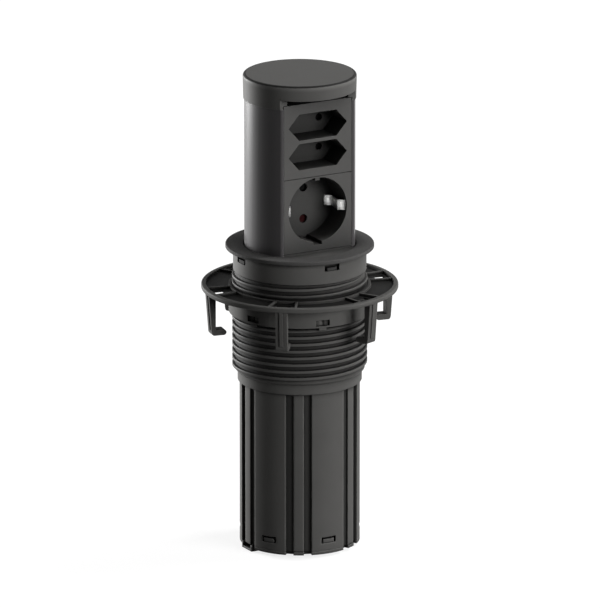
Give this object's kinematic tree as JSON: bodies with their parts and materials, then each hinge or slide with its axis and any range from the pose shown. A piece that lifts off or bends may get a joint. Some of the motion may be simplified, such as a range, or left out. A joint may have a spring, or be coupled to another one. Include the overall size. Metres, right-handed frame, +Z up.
{
  "type": "pop up desk socket",
  "caption": "Pop up desk socket: a D-shaped tower with flat and earthed outlets slides up out of a threaded sleeve that a flange and a hooked lock nut clamp in a round desk hole.",
  "frame": {"origin": "on the axis, at the desk surface under the flange", "axes": "+Z up along the axis the tower rises on, -Y out of the socket face, +X to the right when facing the sockets"},
  "size_m": [0.116, 0.116, 0.2863],
  "materials": {
    "body_plastic": "satin charcoal moulding",
    "tower_metal": "dark anodised extrusion",
    "module_plastic": "satin charcoal moulding",
    "cover_plastic": "plain black moulding",
    "shutter_plastic": "dark red moulding",
    "contact_brass": "plain brass",
    "clip_nickel": "bright nickel plate",
    "screw_steel": "zinc plated",
    "ring_rubber": "smooth"
  },
  "bodies": {
    "housing": {"bezel_flange": "body_plastic", "threaded_sleeve": "body_plastic", "guide_tube": "body_plastic", "base_cap": "body_plastic"},
    "lock_nut": {"lock_nut": "body_plastic"},
    "tower": {"tower_shell": "tower_metal", "top_cap": "body_plastic", "foot_guide": "body_plastic", "friction_ring": "ring_rubber", "foot_screws": "screw_steel", "flat_module": "module_plastic", "flat_rear_cover": "cover_plastic", "flat_bar_left": "contact_brass", "flat_bar_right": "contact_brass", "earthed_module": "module_plastic", "earthed_rear_cover": "cover_plastic", "earth_clip": "clip_nickel", "earthed_clamp_upper": "contact_brass", "earthed_clamp_lower": "contact_brass", "cover_screws": "screw_steel", "terminal_block": "cover_plastic", "terminal_clamps": "contact_brass", "terminal_screws": "screw_steel"},
    "earthed_shutter": {"earthed_shutter": "shutter_plastic"},
    "flat_shutter_upper": {"flat_shutter_upper": "cover_plastic"},
    "flat_shutter_lower": {"flat_shutter_lower": "cover_plastic"}
  },
  "joints": [
    {"name": "tower_slide", "type": "slide", "parent": "housing", "child": "tower", "axis": [0, 0, 1], "range_m": [-0.0881, 0]},
    {"name": "nut_travel", "type": "slide", "parent": "housing", "child": "lock_nut", "axis": [0, 0, 1], "range_m": [-0.0332, 0.01245]},
    {"name": "earthed_shutter_swing", "type": "hinge", "parent": "tower", "child": "earthed_shutter", "pos_m": [0, -0.00143, 0.027], "axis": [0, 1, 0], "range_deg": [0, 38], "stiffness_Nm_per_rad": 0.003},
    {"name": "flat_shutter_upper_slide", "type": "slide", "parent": "tower", "child": "flat_shutter_upper", "axis": [1, 0, 0], "range_m": [0, 0.0055], "stiffness_N_per_m": 60},
    {"name": "flat_shutter_lower_slide", "type": "slide", "parent": "tower", "child": "flat_shutter_lower", "axis": [1, 0, 0], "range_m": [0, 0.0055], "stiffness_N_per_m": 60}
  ]
}
